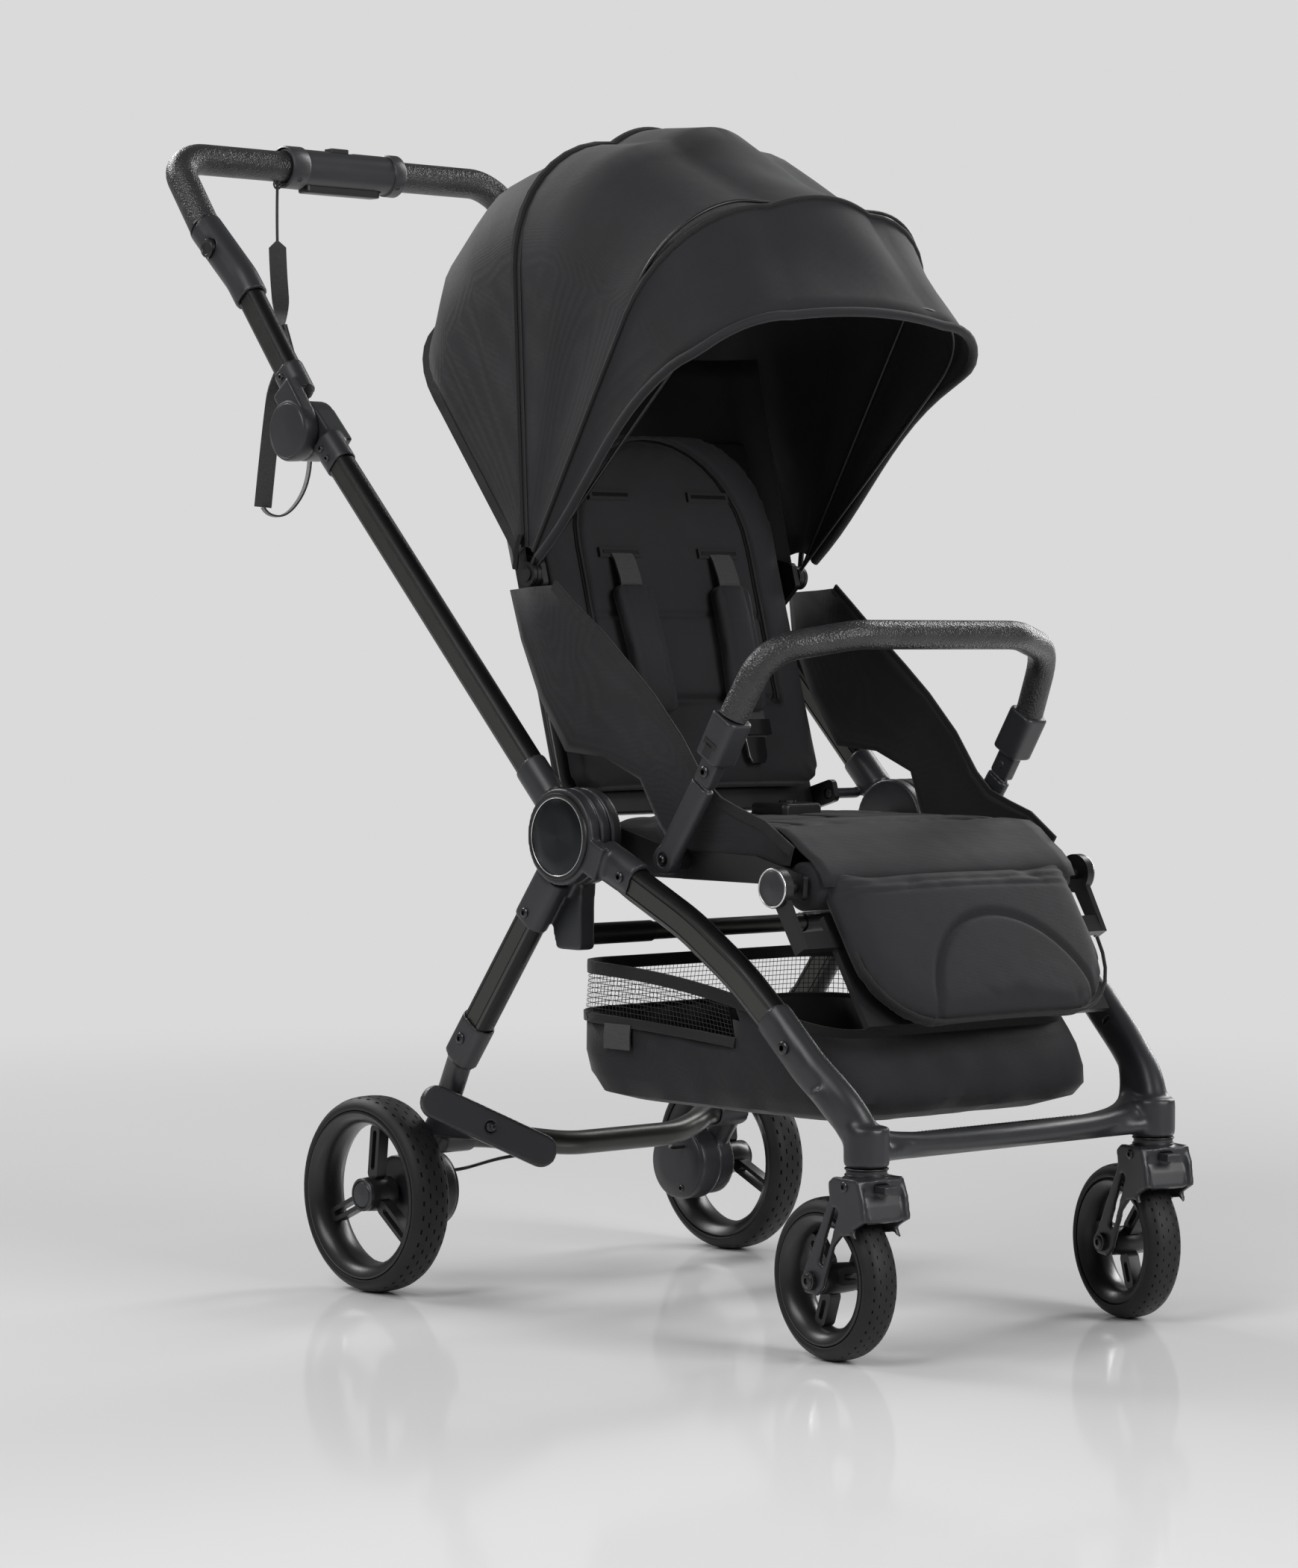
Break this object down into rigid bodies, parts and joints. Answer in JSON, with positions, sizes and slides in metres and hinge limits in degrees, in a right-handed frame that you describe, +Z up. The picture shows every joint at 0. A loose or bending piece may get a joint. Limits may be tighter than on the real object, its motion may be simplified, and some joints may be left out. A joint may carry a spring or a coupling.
{
  "type": "baby stroller",
  "caption": "Folding baby stroller with one-piece handle, hooded reclining seat, bumper bar, basket and swivelling, lockable front casters.",
  "frame": {"origin": "bottom centre of the bounding box, on the floor", "axes": "+Z up; the stroller faces -Y, and its right side is -X"},
  "size_m": [0.478, 0.9814, 1.0761],
  "materials": {
    "moulded_plastic": "matte, fine texture",
    "dark_plastic": "satin",
    "anodised_tube": "satin anodised",
    "steel_hardware": "satin",
    "leatherette": "grained",
    "charcoal_fabric": "woven",
    "webbing": "ribbed webbing",
    "tyre_foam": "matte",
    "cover_disc": "spun, glossy"
  },
  "bodies": {
    "chassis": {"hub_shells": "moulded_plastic", "hub_covers": "cover_disc", "pivot_bolts": "steel_hardware", "front_legs": "anodised_tube", "front_casting": "moulded_plastic", "seat_board": "dark_plastic", "seat_pad": "charcoal_fabric", "side_wings": "charcoal_fabric", "crotch_strap": "webbing", "buckle": "dark_plastic", "basket": "charcoal_fabric"},
    "rear_frame": {"rear_sockets": "moulded_plastic", "rear_legs": "anodised_tube", "rear_foot_right": "moulded_plastic", "rear_foot_left": "moulded_plastic", "rear_tubes": "anodised_tube", "brake_drums": "dark_plastic", "brake_cable": "dark_plastic", "rear_axle_pins": "steel_hardware"},
    "brake_pedal": {"brake_pedal": "moulded_plastic"},
    "handle_lower": {"handle_sockets": "moulded_plastic", "lower_tubes": "anodised_tube", "fold_joint_lower": "dark_plastic"},
    "handle_upper": {"fold_joint_upper": "moulded_plastic", "upper_tubes": "anodised_tube", "handle_sleeves": "moulded_plastic", "sleeve_caps": "dark_plastic", "grip_bar": "leatherette", "grip_housing": "moulded_plastic", "wrist_strap": "webbing"},
    "squeeze_lever": {"squeeze_lever": "dark_plastic"},
    "lock_slide": {"lock_slide": "dark_plastic"},
    "backrest": {"back_board": "dark_plastic", "back_pad": "charcoal_fabric", "shoulder_straps": "charcoal_fabric"},
    "canopy_base": {"canopy_pivots": "dark_plastic", "canopy_rear_panel": "charcoal_fabric"},
    "canopy_mid": {"canopy_bow_mid": "dark_plastic", "canopy_mid_panel": "charcoal_fabric"},
    "canopy_front": {"canopy_bow_front": "dark_plastic", "canopy_visor": "charcoal_fabric"},
    "bumper_arms": {"bumper_arms": "moulded_plastic"},
    "bumper_bar": {"bumper_bar": "leatherette"},
    "footrest": {"footrest_board": "dark_plastic", "leg_apron": "charcoal_fabric"},
    "buckle_button": {"buckle_button": "dark_plastic"},
    "caster_right": {"caster_fork_right": "moulded_plastic", "front_axle_right": "steel_hardware"},
    "front_wheel_right": {"front_rim_right": "dark_plastic", "front_tyre_right": "tyre_foam"},
    "caster_lock_right": {"caster_lock_right": "dark_plastic"},
    "rear_wheel_right": {"rear_rim_right": "dark_plastic", "rear_tyre_right": "tyre_foam"},
    "caster_left": {"caster_fork_left": "moulded_plastic", "front_axle_left": "steel_hardware"},
    "front_wheel_left": {"front_rim_left": "dark_plastic", "front_tyre_left": "tyre_foam"},
    "caster_lock_left": {"caster_lock_left": "dark_plastic"},
    "rear_wheel_left": {"rear_rim_left": "dark_plastic", "rear_tyre_left": "tyre_foam"}
  },
  "joints": [
    {"name": "frame_fold", "type": "hinge", "parent": "chassis", "child": "handle_lower", "pos_m": [0, -0.12109, 0.422], "axis": [1, 0, 0], "range_deg": [0, 95], "deforming": ["canopy_rear_panel", "canopy_mid_panel", "canopy_visor", "wrist_strap"]},
    {"name": "rear_leg_fold", "type": "hinge", "parent": "chassis", "child": "rear_frame", "pos_m": [0, -0.12109, 0.422], "axis": [1, 0, 0], "range_deg": [-56.1, 0]},
    {"name": "bumper_arm_fold", "type": "hinge", "parent": "chassis", "child": "bumper_arms", "pos_m": [0, -0.21909, 0.405], "axis": [1, 0, 0], "range_deg": [0, 38.05]},
    {"name": "handle_fold", "type": "hinge", "parent": "handle_lower", "child": "handle_upper", "pos_m": [0, 0.26153, 0.78441], "axis": [1, 0, 0], "range_deg": [-130, 0], "deforming": ["wrist_strap"]},
    {"name": "recline", "type": "hinge", "parent": "handle_lower", "child": "backrest", "pos_m": [0, -0.07209, 0.45], "axis": [1, 0, 0], "range_deg": [-35, 0]},
    {"name": "canopy_swing", "type": "hinge", "parent": "backrest", "child": "canopy_base", "pos_m": [0, -0.01709, 0.65], "axis": [1, 0, 0], "range_deg": [-76.05, 0]},
    {"name": "canopy_fold", "type": "hinge", "parent": "canopy_base", "child": "canopy_front", "pos_m": [0, -0.01709, 0.65], "axis": [1, 0, 0], "range_deg": [-72, 0], "deforming": ["canopy_rear_panel", "canopy_mid_panel", "canopy_visor"]},
    {"name": "canopy_mid_fold", "type": "hinge", "parent": "canopy_base", "child": "canopy_mid", "pos_m": [0, -0.01709, 0.65], "axis": [1, 0, 0], "range_deg": [-61.25, 0]},
    {"name": "bumper_tilt", "type": "hinge", "parent": "bumper_arms", "child": "bumper_bar", "pos_m": [0, -0.27209, 0.481], "axis": [1, 0, 0], "range_deg": [-50, 0]},
    {"name": "footrest_tilt", "type": "hinge", "parent": "chassis", "child": "footrest", "pos_m": [0, -0.35709, 0.387], "axis": [1, 0, 0], "range_deg": [-50, 0]},
    {"name": "brake_pedal_rock", "type": "hinge", "parent": "rear_frame", "child": "brake_pedal", "pos_m": [-0.17, 0.03091, 0.155], "axis": [0.2198, 0.9755, 0], "range_deg": [-20, 0]},
    {"name": "caster_swivel_right", "type": "hinge", "parent": "chassis", "child": "caster_right", "pos_m": [-0.174, -0.45639, 0.163], "axis": [0, 0, 1], "continuous": true},
    {"name": "front_wheel_spin_right", "type": "hinge", "parent": "caster_right", "child": "front_wheel_right", "pos_m": [-0.16993, -0.41559, 0.0677], "axis": [0.9951, -0.0993, 0], "continuous": true},
    {"name": "caster_lock_slide_right", "type": "slide", "parent": "caster_right", "child": "caster_lock_right", "axis": [-0.0993, -0.9951, 0], "range_m": [-0.003, 0.003]},
    {"name": "rear_wheel_spin_right", "type": "hinge", "parent": "rear_frame", "child": "rear_wheel_right", "pos_m": [-0.219, 0.13291, 0.089], "axis": [1, 0, 0], "continuous": true},
    {"name": "caster_swivel_left", "type": "hinge", "parent": "chassis", "child": "caster_left", "pos_m": [0.174, -0.45639, 0.163], "axis": [0, 0, 1], "continuous": true},
    {"name": "front_wheel_spin_left", "type": "hinge", "parent": "caster_left", "child": "front_wheel_left", "pos_m": [0.18406, -0.41664, 0.0677], "axis": [0.9694, -0.2453, 0], "continuous": true},
    {"name": "caster_lock_slide_left", "type": "slide", "parent": "caster_left", "child": "caster_lock_left", "axis": [-0.2453, -0.9694, 0], "range_m": [-0.003, 0.003]},
    {"name": "rear_wheel_spin_left", "type": "hinge", "parent": "rear_frame", "child": "rear_wheel_left", "pos_m": [0.219, 0.13291, 0.089], "axis": [1, 0, 0], "continuous": true},
    {"name": "squeeze_lever_press", "type": "slide", "parent": "handle_upper", "child": "squeeze_lever", "axis": [0, 0, 1], "range_m": [0, 0.005], "stiffness_N_per_m": 400, "springref_m": -0.002},
    {"name": "lock_slide_push", "type": "slide", "parent": "handle_upper", "child": "lock_slide", "axis": [1, 0, 0], "range_m": [0, 0.006]},
    {"name": "buckle_button_press", "type": "slide", "parent": "chassis", "child": "buckle_button", "axis": [0, 0, -1], "range_m": [0, 0.0022], "stiffness_N_per_m": 600, "springref_m": -0.002}
  ],
  "couplings": [
    {"joint": "rear_leg_fold", "follows": "frame_fold", "ratio": -0.59},
    {"joint": "bumper_arm_fold", "follows": "frame_fold", "ratio": 0.4},
    {"joint": "canopy_swing", "follows": "frame_fold", "ratio": -0.8},
    {"joint": "canopy_mid_fold", "follows": "canopy_fold", "ratio": 0.85}
  ]
}
